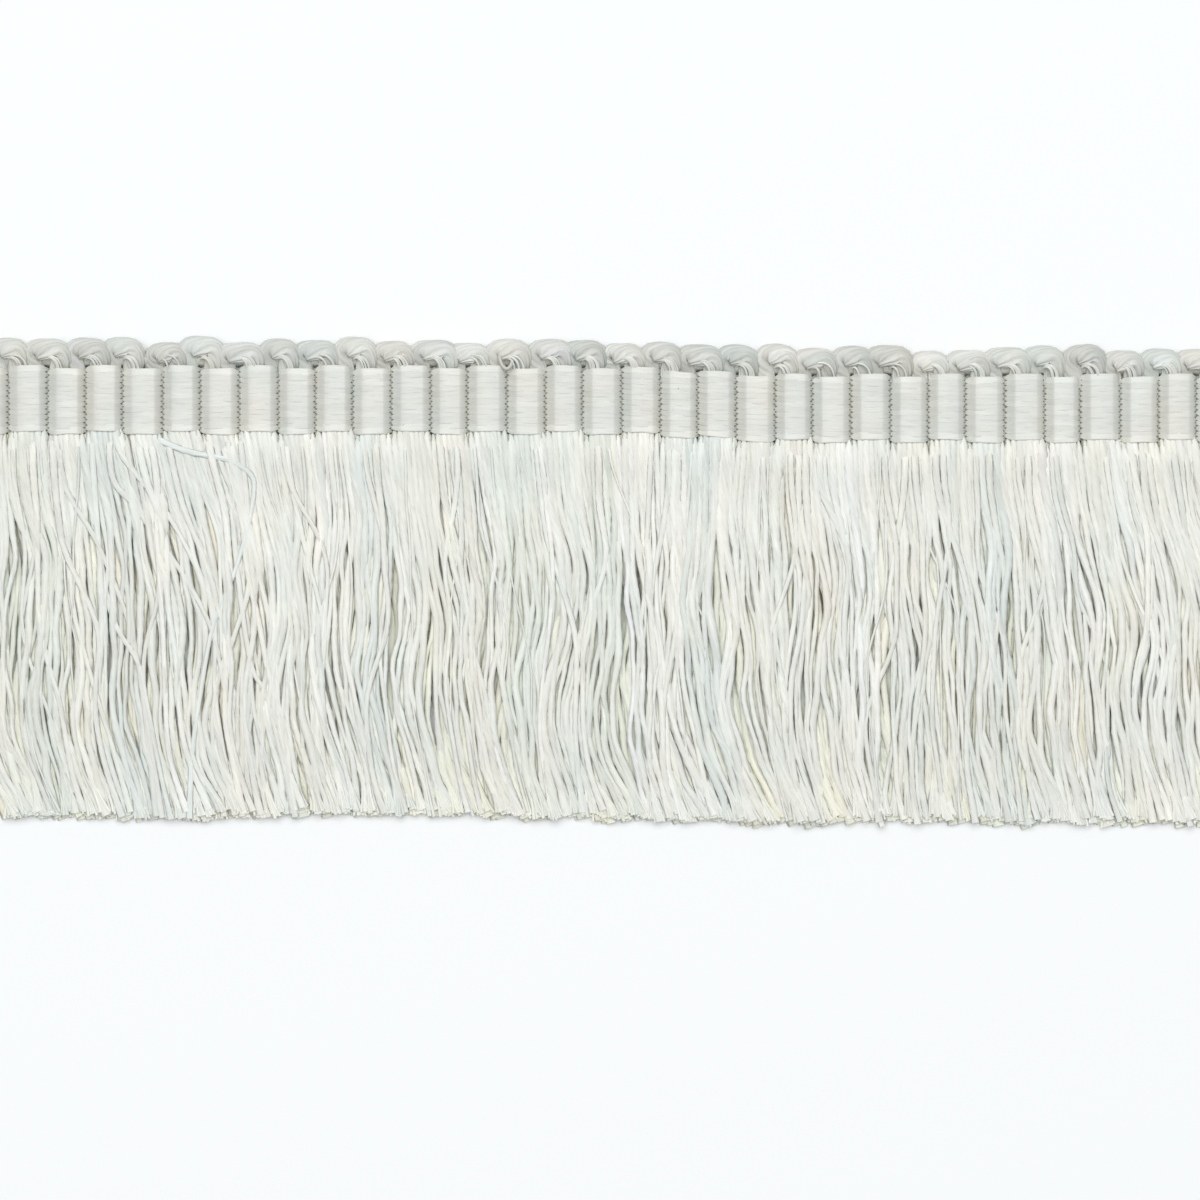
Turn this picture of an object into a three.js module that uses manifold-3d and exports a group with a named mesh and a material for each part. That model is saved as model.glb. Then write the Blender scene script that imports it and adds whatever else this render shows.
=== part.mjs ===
// A cut length of brush fringe trim, lying flat and face up.
// Millimetres. +X runs along the trim, +Y points up the heading to its looped edge, and +Z faces the viewer.
// The origin is on the back of the heading, at the middle of the middle rib, where the trim is sewn on.
import * as THREE from "three";
import { mergeVertices } from "three/addons/utils/BufferGeometryUtils.js";
import Module from "manifold-3d";

const wasm = await Module();
wasm.setup();

// Driving dimensions of the whole trim
const RIB_COUNT = 33;
const RIB_PITCH = 5.06;
const RIB_DROP = 8.4; // height of a rib, from its lower end to its upper end
const RIB_STAGGER = 0.22; // odd ribs sit this much higher, even ribs this much lower
const FRINGE_DROP = 51; // from the heading's lower edge to the cut ends
const LOOP_RISE = 3.8; // from the heading's upper edge to the top of the looped edge
const PIECE_GAP = 0.3; // between the heading, the looped edge and the fringe

const LENGTH = RIB_COUNT * RIB_PITCH;
const FIRST_RIB = -(RIB_COUNT - 1) / 2;
const HEADING_FOOT = -RIB_DROP / 2 - RIB_STAGGER;
const HEADING_TOP = RIB_DROP / 2 + RIB_STAGGER;

// The trim doesn't lie quite straight: its right part lies a little lower than its left part.
const BOW_DROP = 1.1;
const BOW_START = -2;
const BOW_END = 26;

// Across one rib, from valley to valley: at is the share of the pitch, and back and front are heights in Z.
const RIB_STATIONS = [
  { at: 0.0, back: 0.75, front: 1.45 },
  { at: 0.07, back: 0.35, front: 2.0 },
  { at: 0.32, back: 0, front: 2.55 },
  { at: 0.68, back: 0, front: 2.55 },
  { at: 0.93, back: 0.35, front: 2.0 },
];
// Down the heading: at is the share of the rib's drop, and pinch draws the front and back together.
const HEADING_ROWS = [
  { at: 0, pinch: 0.3 },
  { at: 0.07, pinch: 0 },
  { at: 0.93, pinch: 0 },
  { at: 1, pinch: 0.3 },
];

// The looped edge: bundles of yarn that lean from each rib to the next and lie against each other
const EDGE_SIDES = 8;
const EDGE_HALF_DEPTH = 1.2; // half its thickness in Z
const EDGE_BACK = 0.15; // its lowest point
const EDGE_LEAN = 0.5; // how far a bundle's foot lies to the left of its top, in pitches
const BUNDLE_SPREAD = 0.12; // how uneven the bundles are, in millimetres
// Across one bundle: at is the share of the pitch, and fall is how far its surface lies below the crest.
const BUNDLE_STATIONS = [
  { at: 0, fall: 0.85 },
  { at: 0.13, fall: 0.35 },
  { at: 0.36, fall: 0 },
  { at: 0.64, fall: 0 },
  { at: 0.87, fall: 0.35 },
];

// The fringe: locks of yarn in two layers, fused at their roots into a strip
const LOCKS_PER_RIB = 4; // in each layer
const LOCK_SIDES = 3;
const LOCK_SHARES = [0, 0.12, 0.4, 0.7, 1]; // where a lock bends, in shares of its drop
const LOCK_GAP = 0.36; // between neighbouring locks of a layer
const LOCK_ROOT = 0.6; // how far a lock reaches up into the strip
const ROOT_SPREAD = 0.05; // how uneven the heights of the roots are
const CUT_SPREAD = 0.7; // how uneven the cut ends are
const STRIP = { drop: 1.2, back: 0.05, front: 2.65 };
// Each layer: its shift along the trim in lock pitches, the height of a lock's base at its root and below it,
// how far that base swells halfway down, how tall a lock is, and the seed of its unevenness
const LAYERS = [
  { shift: -0.25, root: 0.2, base: 0, swell: 0, tall: 1.1, seed: 100 },
  { shift: 0.25, root: 1.43, base: 1.3, swell: 0.5, tall: 1.1, seed: 500 },
];
const LEAN = 4.6; // how far the cut ends have drifted to the right
const WAVE_FADE = 0.25; // the share of the drop over which the waves grow from nothing
// Where the yarn sweeps further to the right near its root: once in each length, most at the place named
const SWEEP = { reach: 1.3, length: 130, most: 72, by: 0.4 };
// Waves of the hanging yarn: their reach in X, their turns down the fringe, and their length along the trim.
// The first two are alike all along it, and give every lock its S.
const WAVES = [
  { reach: 0.9, turns: 1, length: Infinity },
  { reach: -0.6, turns: 0.5, length: Infinity },
  { reach: 0.5, turns: 0.9, length: 40 },
  { reach: 0.25, turns: 1.6, length: -25 },
];

// A repeatable number from -1 to 1 for an index
function uneven(index) {
  const turn = Math.sin(index * 12.9898) * 43758.5453;
  return 2 * (turn - Math.floor(turn)) - 1;
}

// A smooth step from 0 at low to 1 at high
function smooth(low, high, value) {
  const share = THREE.MathUtils.clamp((value - low) / (high - low), 0, 1);
  return share * share * (3 - 2 * share);
}

// How far the trim has moved in Y at a place along it
function bow(x) {
  return -BOW_DROP * smooth(BOW_START, BOW_END, x);
}

// How far the hanging yarn has drifted in X at a place along the trim and a share of the drop
function drift(x, share) {
  let wave = 0;
  for (const { reach, turns, length } of WAVES) {
    wave += reach * Math.sin(2 * Math.PI * (turns * share + x / length));
  }
  const sweep = SWEEP.reach * Math.cos((2 * Math.PI * (x - SWEEP.most)) / SWEEP.length);
  return LEAN * share + sweep * smooth(0, SWEEP.by, share) + wave * Math.min(1, share / WAVE_FADE);
}

// Moves every point of a geometry by a function of its old place, and keeps only positions
function reshape(geometry, move) {
  const places = geometry.getAttribute("position");
  const point = new THREE.Vector3();
  for (let i = 0; i < places.count; i++) {
    move(point.fromBufferAttribute(places, i));
    places.setXYZ(i, point.x, point.y, point.z);
  }
  geometry.deleteAttribute("normal");
  geometry.deleteAttribute("uv");
  return mergeVertices(geometry, 1e-4);
}

function solidOf(geometry) {
  return new wasm.Manifold(
    new wasm.Mesh({
      numProp: 3,
      vertProperties: geometry.getAttribute("position").array,
      triVerts: new Uint32Array(geometry.index.array),
    }),
  );
}

function geometryOf(solid) {
  const mesh = solid.getMesh();
  const geometry = new THREE.BufferGeometry();
  geometry.setAttribute("position", new THREE.BufferAttribute(mesh.vertProperties, 3));
  geometry.setIndex(new THREE.BufferAttribute(mesh.triVerts, 1));
  geometry.computeVertexNormals();
  return geometry;
}

// The woven heading: one ribbed sheet whose ribs step up and down in turn
function headingGeometry() {
  const columns = RIB_COUNT * RIB_STATIONS.length;
  const rows = HEADING_ROWS.length - 1;
  const slab = new THREE.BoxGeometry(columns, rows, 2, columns, rows, 1);
  return reshape(slab, (point) => {
    const column = Math.round(point.x + columns / 2);
    const row = HEADING_ROWS[Math.round(point.y + rows / 2)];
    const rib = Math.floor(column / RIB_STATIONS.length);
    const station = RIB_STATIONS[column % RIB_STATIONS.length];
    const x = (rib + station.at) * RIB_PITCH - LENGTH / 2;
    const raised = (FIRST_RIB + rib) % 2 === 0 ? -RIB_STAGGER : RIB_STAGGER;
    const stagger = station.at === 0 ? 0 : raised;
    const z = point.z > 0 ? station.front - row.pinch : station.back + row.pinch;
    point.set(x, (row.at - 0.5) * RIB_DROP + stagger + bow(x), z);
  });
}

// The looped edge: a flattened rope whose surface rises and falls with each leaning bundle
function loopedEdgeGeometry() {
  const steps = RIB_COUNT * BUNDLE_STATIONS.length;
  const foot = HEADING_TOP + PIECE_GAP;
  const halfRise = (RIB_DROP / 2 + LOOP_RISE - foot) / 2;
  const rope = new THREE.CylinderGeometry(1, 1, steps, EDGE_SIDES, steps);
  return reshape(rope, (point) => {
    const step = Math.round(point.y + steps / 2);
    const bundle = Math.floor(step / BUNDLE_STATIONS.length);
    const station = BUNDLE_STATIONS[step % BUNDLE_STATIONS.length];
    const upright = (bundle + station.at) * RIB_PITCH;
    const fromEnd = Math.min(upright, LENGTH - upright);
    const lean = EDGE_LEAN * RIB_PITCH * 0.5 * (1 + point.x) * smooth(0, RIB_PITCH, fromEnd);
    const swell = BUNDLE_SPREAD * uneven(bundle) - station.fall;
    const x = upright - lean - LENGTH / 2;
    const y = foot + halfRise - point.x * (halfRise + 0.5 * swell);
    const z = EDGE_BACK + EDGE_HALF_DEPTH + point.z * (EDGE_HALF_DEPTH + 0.5 * swell);
    point.set(x, Math.max(y, foot) + bow(x), z);
  });
}

// The strip that holds the roots of the locks and follows the heading's lower edge
function stripGeometry() {
  const bar = new THREE.BoxGeometry(LENGTH, STRIP.drop, STRIP.front - STRIP.back, RIB_COUNT, 1, 1);
  return reshape(bar, (point) => {
    point.y += HEADING_FOOT - PIECE_GAP - STRIP.drop / 2 + bow(point.x);
    point.z += (STRIP.front + STRIP.back) / 2;
  });
}

// One lock of the fringe: a three-sided rod that drops from the strip and lies level on its layer
function lockGeometry(layer, index) {
  const pitch = RIB_PITCH / LOCKS_PER_RIB;
  const halfWidth = (pitch - LOCK_GAP) / 2;
  const x = (index + 0.5 + layer.shift) * pitch - LENGTH / 2;
  const root = layer.root + ROOT_SPREAD * uneven(layer.seed - index);
  const top = HEADING_FOOT - PIECE_GAP - STRIP.drop + LOCK_ROOT;
  const foot = HEADING_FOOT - FRINGE_DROP + CUT_SPREAD * uneven(layer.seed + index);
  const steps = LOCK_SHARES.length - 1;
  const rod = new THREE.CylinderGeometry(1, 1, steps, LOCK_SIDES, steps);
  return reshape(rod, (point) => {
    const share = LOCK_SHARES[Math.round(steps / 2 - point.y)];
    const side = Math.round(point.x); // 0 along the lock's ridge, -1 and 1 at its base
    const base = share === 0 ? root : layer.base + layer.swell * Math.sin(Math.PI * share);
    const z = side === 0 ? base + layer.tall : base;
    const y = THREE.MathUtils.lerp(top, foot, share) + bow(x);
    point.set(x + side * halfWidth + drift(x, share), y, z);
  });
}

// The fringe: every lock joined to the strip
function fringeGeometry() {
  const solids = [solidOf(stripGeometry())];
  for (const layer of LAYERS) {
    for (let i = 0; i < RIB_COUNT * LOCKS_PER_RIB; i++) {
      solids.push(solidOf(lockGeometry(layer, i)));
    }
  }
  return geometryOf(wasm.Manifold.union(solids));
}

function piece(name, geometry, color, roughness) {
  const material = new THREE.MeshStandardMaterial({ color, roughness, metalness: 0 });
  const mesh = new THREE.Mesh(geometry, material);
  mesh.name = name;
  return mesh;
}

const trim = new THREE.Group();
trim.add(piece("heading", headingGeometry(), 0xdadcd3, 0.6));
trim.add(piece("looped_edge", loopedEdgeGeometry(), 0xd9dcd4, 0.7));
trim.add(piece("fringe", fringeGeometry(), 0xe4e6e0, 0.75));

export default trim;
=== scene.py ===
# Looks of a brush fringe trim, lying flat: woven warp over ribs of weft, looped upper edge and cut yarns.
# Lengths are worked out in millimetres and turned into metres where a mesh is made.
import math

import bpy
import numpy as np
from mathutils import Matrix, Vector


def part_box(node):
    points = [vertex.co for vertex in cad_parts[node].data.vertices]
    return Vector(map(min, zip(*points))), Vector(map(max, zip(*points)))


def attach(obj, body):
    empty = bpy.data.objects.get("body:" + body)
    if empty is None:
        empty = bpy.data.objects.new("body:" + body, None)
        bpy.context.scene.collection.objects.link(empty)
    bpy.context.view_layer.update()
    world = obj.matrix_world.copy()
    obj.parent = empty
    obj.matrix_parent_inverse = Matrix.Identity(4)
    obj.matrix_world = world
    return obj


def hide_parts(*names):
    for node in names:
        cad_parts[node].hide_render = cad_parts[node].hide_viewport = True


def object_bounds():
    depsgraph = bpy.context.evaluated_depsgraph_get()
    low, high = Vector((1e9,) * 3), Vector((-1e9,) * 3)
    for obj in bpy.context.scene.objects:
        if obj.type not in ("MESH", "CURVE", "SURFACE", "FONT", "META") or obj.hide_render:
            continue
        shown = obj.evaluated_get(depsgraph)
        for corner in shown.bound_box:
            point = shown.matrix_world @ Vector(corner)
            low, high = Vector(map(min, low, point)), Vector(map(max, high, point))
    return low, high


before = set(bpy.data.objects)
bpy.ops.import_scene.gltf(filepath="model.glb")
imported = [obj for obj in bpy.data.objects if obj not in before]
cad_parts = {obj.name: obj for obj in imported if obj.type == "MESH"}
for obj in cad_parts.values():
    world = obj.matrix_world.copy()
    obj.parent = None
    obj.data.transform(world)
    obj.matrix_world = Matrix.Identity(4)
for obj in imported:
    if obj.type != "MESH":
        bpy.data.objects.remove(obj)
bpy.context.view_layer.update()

MM = 0.001
TURN = 2 * math.pi
rng = np.random.default_rng(33)

# Driving sizes of the trim, in millimetres
RIB_COUNT = 33
RIB_DROP = 8.4  # height of a rib, from its lower end to its upper end
RIB_STAGGER = 0.2  # odd ribs sit this much higher, even ribs this much lower
RIB_THICK = 2.58
FRINGE_DROP = 50.8  # from the heading's lower edge to the cut ends
LENGTH = (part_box("heading")[1].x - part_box("heading")[0].x) / MM
PITCH = LENGTH / RIB_COUNT
FIRST_RIB = -(RIB_COUNT - 1) // 2
HEADING_FOOT = -RIB_DROP / 2
HEADING_TOP = RIB_DROP / 2
RIB_MIDDLE = RIB_THICK / 2
FLOOR_GAP = 0.02  # what a yarn keeps free below itself

# The right part of the trim lies a little lower than its left part.
BOW_DROP = 1.1
BOW_START = -2.0
BOW_END = 26.0

# Tints of the yarns, as linear colours, and how often each is drawn
TINTS = np.array([
    # red, green, blue, weight
    (0.86, 0.87, 0.815, 0.49),
    (0.90, 0.905, 0.865, 0.19),
    (0.805, 0.845, 0.79, 0.14),
    (0.80, 0.845, 0.82, 0.11),
    (0.865, 0.85, 0.785, 0.07),
])
PLAIN_TINT = TINTS[0, :3]
COOL_TINT = TINTS[3, :3]
WARM_TINT = TINTS[4, :3]

# Deeper tints, which show most in the gaps between the locks: partly the yarns' own tints, partly painted
# shade that darkens and warms those gaps
DEEP_TINTS = np.array([
    # red, green, blue, weight
    (0.74, 0.80, 0.785, 0.32),
    (0.79, 0.78, 0.66, 0.36),
    (0.87, 0.84, 0.74, 0.32),
])

# Neighbouring groups of strands share a cool tint where two waves along the trim add up high, and a warm one
# where they add up low. These are the rows of the two tints in each table.
SHARED_ROWS = (2, 4)
SHARED_DEEP_ROWS = (0, 1)
SECOND_WAVE = 2.63  # its length, in lengths of the first wave
COOL_ABOVE = 1.25
WARM_BELOW = -1.35
SHARING = 0.6  # how often a group takes the shared tint
TONE_SPREAD = 0.06  # how uneven the strands' tones are
TINT_LIMITS = (0.02, 0.93)

# What the yarns' colour is multiplied by in the warmest and the coolest patches
WARM_PATCH = (1.0, 0.98, 0.955, 1.0)
COOL_PATCH = (0.96, 0.975, 0.975, 1.0)

# How uneven waves are: the spread of their turns, and the least share of their reach with the range above it
TURNS_SPREAD = 0.15
REACH_LEAST = 0.6
REACH_RANGE = 0.8

STRAND_STEP = 0.731  # sets each strand's fibres apart from the last one's
YARN_RADII = [1.02, 0.97, 1.0, 0.95, 1.02, 0.98, 1.0, 0.95]  # a yarn's slightly uneven cross-section


def smooth(low, high, value):
    """A smooth step from 0 at low to 1 at high."""
    share = np.clip((value - low) / (high - low), 0.0, 1.0)
    return share * share * (3 - 2 * share)


def bow(x):
    """How far the trim has moved in Y at a place along it."""
    return -BOW_DROP * smooth(BOW_START, BOW_END, x)


def stagger(ribs):
    """How far ribs sit above or below the heading's middle line; rib 0 is the middle one."""
    return np.where(ribs % 2 == 0, -RIB_STAGGER, RIB_STAGGER)


def valley_place(valley):
    """Where a valley beside a rib lies along the trim; valley 0 is its left end."""
    return valley * PITCH - LENGTH / 2


def waves(count, shares, rows):
    """Sums of sines with random phases: a row for each strand. rows holds turns and reach of each sine."""
    total = np.zeros((count, len(shares)))
    for turns, reach in rows:
        phase = rng.random((count, 1))
        own = turns * (1 + TURNS_SPREAD * rng.normal(size=(count, 1)))
        size = reach * (REACH_LEAST + REACH_RANGE * rng.random((count, 1)))
        total += size * np.sin(TURN * (own * shares[None] + phase))
    return total


def spline(rows, places):
    """Catmull-Rom through the rows, read at places from 0 to 1."""
    last = len(rows) - 1
    at = places * last
    first = np.clip(np.floor(at).astype(int), 0, last - 1)
    t = (at - first)[:, None]
    p0, p1 = rows[np.maximum(first - 1, 0)], rows[first]
    p2, p3 = rows[first + 1], rows[np.minimum(first + 2, last)]
    return 0.5 * (2 * p1 + (p2 - p0) * t + (2 * p0 - 5 * p1 + 4 * p2 - p3) * t ** 2
                  + (3 * p1 - 3 * p2 + p3 - p0) * t ** 3)


def draw_rows(table, count):
    """Numbers of rows of a table of tints, drawn by their weights."""
    return rng.choice(len(table), size=count, p=table[:, 3] / table[:, 3].sum())


def tint_groups(groups, spacing, table=TINTS, shared_rows=SHARED_ROWS):
    """A tint for each group of strands; neighbouring groups often share a cool or a warm one.
    groups holds their places along the trim, and spacing is the length of the first wave."""
    drawn = draw_rows(table, len(groups))
    phase = rng.random(2)
    along = groups - groups.min()
    first = np.sin(TURN * (along / spacing + phase[0]))
    second = np.sin(TURN * (along / (SECOND_WAVE * spacing) + phase[1]))
    cool, warm = shared_rows
    shared = np.where(first + second > COOL_ABOVE, cool, np.where(first + second < WARM_BELOW, warm, drawn))
    which = np.where(rng.random(len(groups)) < SHARING, shared, drawn)
    return table[which, :3]


def strand_tints(group_tints, own_share):
    """A tint for each strand: mostly its group's, partly its own."""
    count = len(group_tints)
    drawn = draw_rows(TINTS, count)
    share = own_share * rng.random((count, 1))
    mixed = group_tints * (1 - share) + TINTS[drawn, :3] * share
    return np.clip(mixed * (1 + TONE_SPREAD * own_share * rng.normal(size=(count, 1))), *TINT_LIMITS)


def plain_tints(count, own_share):
    """A tint for each strand of a piece that has no groups."""
    return strand_tints(np.repeat([PLAIN_TINT], count, axis=0), own_share)


def ring(radii):
    """Corners evenly round a cross-section, at these distances from its middle."""
    angles = TURN * np.arange(len(radii)) / len(radii) - math.pi / 2
    return np.column_stack([np.cos(angles), np.sin(angles)]) * np.array(radii)[:, None]


class Strands:
    """Tubes that are gathered into one mesh: each has a path, half widths across and deep, and a tint."""

    def __init__(self, corners):
        """corners is the cross-section, sideways and upwards, in half widths, from the underside round."""
        corners = np.array(corners)
        self.radii = np.linalg.norm(corners, axis=1)
        self.angles = np.arctan2(corners[:, 1], corners[:, 0])
        self.points, self.quads, self.ends, self.tints, self.marks = [], [], [], [], []
        self.total = 0

    def add(self, paths, across, deep, tints, twist=None, form=1.0, square=(1.0, 1.0)):
        """paths is (strands, steps, 3). across and deep are half sizes in millimetres; twist is in radians.
        form scales each corner at each step. square is for a path that turns to its right: values below 1
        make the cross-section fuller, the first on the side it turns to and the second on the other side.
        There is a tint for each strand, or for each of its corners."""
        count, steps = paths.shape[:2]
        self.add_faces(count, steps)
        points = self.corner_points(paths, across, deep, twist, form, square)
        marks = self.corner_marks(paths, across)
        both_ends = [0, steps - 1]
        self.points += [points.reshape(-1, 3), points[:, both_ends].reshape(-1, 3)]
        self.marks += [marks.reshape(-1, 3), marks[:, both_ends].reshape(-1, 3)]
        corner_tints = tints.reshape(count, 1, -1, 3)
        for rows in (steps, len(both_ends)):
            shape = (count, rows, len(self.radii), 3)
            self.tints.append(np.broadcast_to(corner_tints, shape).reshape(-1, 3))
        self.total += count

    def corner_points(self, paths, across, deep, twist, form, square):
        """The corners of every cross-section, as (strands, steps, sides, 3)."""
        along = np.gradient(paths, axis=1)
        along /= np.linalg.norm(along, axis=2, keepdims=True)
        side = np.cross(along, np.array([0.0, 0.0, 1.0]))
        side /= np.maximum(np.linalg.norm(side, axis=2, keepdims=True), 1e-6)
        up = np.cross(side, along)
        no_twist = np.zeros(paths.shape[:2] + (1,))
        turned = self.angles[None, None] + (no_twist if twist is None else twist[..., None])
        radii = self.radii * form
        level, rise = np.cos(turned), np.sin(turned)
        power = np.where(level > 0, square[0], square[1])
        sideways = np.sign(level) * np.abs(level) ** power * radii * across[..., None]
        upwards = np.sign(rise) * np.abs(rise) ** power * radii * deep[..., None]
        return (
            paths[:, :, None]
            + side[:, :, None] * sideways[..., None]
            + up[:, :, None] * upwards[..., None]
        )

    def corner_marks(self, paths, across):
        """Where each corner lies around and along its strand, with a number of the strand's own."""
        count, steps = paths.shape[:2]
        sides = len(self.radii)
        steps_long = np.linalg.norm(np.diff(paths, axis=1), axis=2)
        travelled = np.concatenate([np.zeros((count, 1)), np.cumsum(steps_long, axis=1)], axis=1)
        marks = np.zeros((count, steps, sides, 3))
        marks[..., 0] = np.arange(sides) / sides * 2 * math.pi * across.mean()
        marks[..., 1] = travelled[:, :, None]
        marks[..., 2] = (self.total + np.arange(count))[:, None, None] * STRAND_STEP
        return marks

    def add_faces(self, count, steps):
        """The sides of strands whose points come next, and their cut ends."""
        sides = len(self.radii)
        before = sum(len(points) for points in self.points)
        first = before + np.arange(count)[:, None, None] * steps * sides
        step = np.arange(steps - 1)[None, :, None] * sides
        one = np.arange(sides)[None, None]
        two = (one + 1) % sides
        a, b = first + step + one, first + step + two
        self.quads.append(np.stack([a, b, b + sides, a + sides], axis=-1).reshape(-1, 4))
        # the cut ends have corners of their own, so that the strand isn't shaded as if they were rounded off
        rims = before + count * steps * sides + np.arange(count)[:, None] * 2 * sides
        start = rims + np.arange(sides)[None, ::-1]
        finish = rims + sides + np.arange(sides)[None]
        self.ends.append(np.concatenate([start, finish]))

    def piece(self, name, material):
        points = np.concatenate(self.points) * MM
        faces = np.concatenate(self.quads).tolist() + np.concatenate(self.ends).tolist()
        tints = np.concatenate(self.tints)
        tints = np.concatenate([tints, np.ones((len(tints), 1))], axis=1)
        return strand_piece(name, points, faces, material, tints, np.concatenate(self.marks))


def mesh_piece(name, points, faces, material):
    mesh = bpy.data.meshes.new(name)
    mesh.from_pydata(points.tolist(), [], faces)
    mesh.materials.append(material)
    obj = bpy.data.objects.new(name, mesh)
    bpy.context.scene.collection.objects.link(obj)
    return obj


def strand_piece(name, points, faces, material, tints, marks):
    """A smooth piece whose points have a tint, and a place around and along their strand."""
    obj = mesh_piece(name, points, faces, material)
    obj.data.shade_smooth()
    obj.data.attributes.new("tint", "FLOAT_COLOR", "POINT").data.foreach_set("color", tints.ravel())
    obj.data.attributes.new("strand", "FLOAT_VECTOR", "POINT").data.foreach_set("vector", marks.ravel())
    return obj


# Materials

# Each noise: its scale (around, along and between the strands, or in X, Y and Z), its detail and its shift
FIBRE_NOISE = ((9.0, 0.45, 5.0), 3.0, 0.0)
WASH_NOISE = ((0.6, 0.22, 3.0), 2.0, 4.0)
PATCH_NOISE = ((170.0, 62.0, 60.0), 2.0, 11.0)
NOISE_RANGE = (0.3, 0.7)  # most of what a noise gives
WASH_TONES = (0.96, 1.055)
WARM_END = 0.36  # the noise's value up to which a patch is at its warmest
COOL_START = 0.64  # and from which it is at its coolest
STREAK_LIGHT = 0.6  # how much less streaks lighten than they darken
FIBRE_RELIEF = 0.00006  # in metres


def yarn_material(name, roughness, gloss, fibre, streak, seed):
    """Spun yarn: its tint from the strand, fine fibres along it, warm and cool patches, and a soft sheen."""
    material = bpy.data.materials.new(name)
    material.use_nodes = True
    nodes, links = material.node_tree.nodes, material.node_tree.links
    shader = nodes["Principled BSDF"]
    shader.inputs["Roughness"].default_value = roughness
    shader.inputs["Specular IOR Level"].default_value = gloss
    shader.inputs["Sheen Weight"].default_value = 0.1
    shader.inputs["Sheen Roughness"].default_value = 0.4
    tint = nodes.new("ShaderNodeAttribute")
    tint.attribute_name = "tint"
    strand = nodes.new("ShaderNodeAttribute")
    strand.attribute_name = "strand"
    place = nodes.new("ShaderNodeTexCoord")

    def noise(where, scale, detail, shift):
        mapping = nodes.new("ShaderNodeMapping")
        mapping.inputs["Scale"].default_value = scale
        mapping.inputs["Location"].default_value = (shift, seed, shift)
        texture = nodes.new("ShaderNodeTexNoise")
        texture.inputs["Scale"].default_value = 1.0
        texture.inputs["Detail"].default_value = detail
        links.new(where, mapping.inputs["Vector"])
        links.new(mapping.outputs["Vector"], texture.inputs["Vector"])
        return texture.outputs["Fac"]

    def tones(source, lowest, highest):
        spread = nodes.new("ShaderNodeMapRange")
        spread.inputs["From Min"].default_value = NOISE_RANGE[0]
        spread.inputs["From Max"].default_value = NOISE_RANGE[1]
        spread.inputs["To Min"].default_value = lowest
        spread.inputs["To Max"].default_value = highest
        links.new(source, spread.inputs["Value"])
        return spread.outputs["Result"]

    def combine(kind, operation, first, second, second_socket=1):
        node = nodes.new(kind)
        node.operation = operation
        links.new(first, node.inputs[0])
        links.new(second, node.inputs[second_socket])
        return node.outputs[0]

    fibres = noise(strand.outputs["Vector"], *FIBRE_NOISE)
    wash = noise(strand.outputs["Vector"], *WASH_NOISE)
    streaks = tones(fibres, 1.0 - streak, 1.0 + STREAK_LIGHT * streak)
    shade = combine("ShaderNodeMath", "MULTIPLY", streaks, tones(wash, *WASH_TONES))
    shaded = combine("ShaderNodeVectorMath", "SCALE", tint.outputs["Color"], shade, "Scale")
    # patches of warmer and cooler yarn, a few millimetres wide
    region = nodes.new("ShaderNodeValToRGB")
    warmest, coolest = region.color_ramp.elements
    warmest.position, warmest.color = WARM_END, WARM_PATCH
    coolest.position, coolest.color = COOL_START, COOL_PATCH
    links.new(noise(place.outputs["Object"], *PATCH_NOISE), region.inputs["Fac"])
    patched = combine("ShaderNodeVectorMath", "MULTIPLY", shaded, region.outputs["Color"])
    links.new(patched, shader.inputs["Base Color"])
    bump = nodes.new("ShaderNodeBump")
    bump.inputs["Strength"].default_value = fibre
    bump.inputs["Distance"].default_value = FIBRE_RELIEF
    links.new(fibres, bump.inputs["Height"])
    links.new(bump.outputs["Normal"], shader.inputs["Normal"])
    return material


def floor_material():
    material = bpy.data.materials.new("pale_floor")
    material.use_nodes = True
    shader = material.node_tree.nodes["Principled BSDF"]
    shader.inputs["Base Color"].default_value = (0.935, 0.948, 0.955, 1)
    shader.inputs["Roughness"].default_value = 0.9
    shader.inputs["Specular IOR Level"].default_value = 0.0
    return material


# Heading: two sets of warp ends that take turns above and below the ribs

ENDS_PER_SET = 12
END_PITCH = RIB_DROP / ENDS_PER_SET
END_THICK = 0.26
# An end is a flat ribbon of fine threads; its cross-section starts at the underside.
END_CORNERS = [(0.92, -0.9), (0.98, 0.6), (0.92, 0.9), (0.82, 1.0), (0.62, 1.0),
               (-0.62, 1.0), (-0.82, 1.0), (-0.92, 0.9), (-0.98, 0.6), (-0.92, -0.9)]
VALLEY_SINK = 0.22  # how far below the rib's middle the two sets pass each other
VALLEY_SPREAD = 0.11  # how uneven the widths of the ribs are
# Across a rib, from valley to valley: how far an end has climbed from the middle height to its full height,
# and how wide it is. It narrows where it passes between two ends of the other set.
END_STATIONS = np.array([
    # at, climb, width
    (0.0, 0.0, 0.50),
    (0.028, 0.17, 0.58),
    (0.055, 0.30, 0.86),
    (0.10, 0.43, 1.30),
    (0.17, 0.66, 1.48),
    (0.24, 0.92, 1.50),
    (0.28, 0.99, 1.50),
    (0.53, 1.01, 1.50),
    (0.78, 1.0, 1.50),
    (0.835, 0.95, 1.50),
    (0.90, 0.72, 1.36),
    (0.95, 0.38, 0.84),
])
LAST_STATION = (1.0, 0.0, 0.50)
# Turns and reach of the waves that make the ends uneven: in Y and Z in millimetres, and in shares of a width
END_WAVER = [(19, 0.02), (33, 0.02), (60, 0.015)]
END_LIFT = [(27, 0.007), (48, 0.006)]
END_SWELL = [(22, 0.04), (41, 0.04)]
END_TONE = 0.775
OUTER_END_HIGHLIGHT = 1.11  # painted highlight: the ends at the heading's two edges are coloured lighter, for the light they catch
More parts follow.
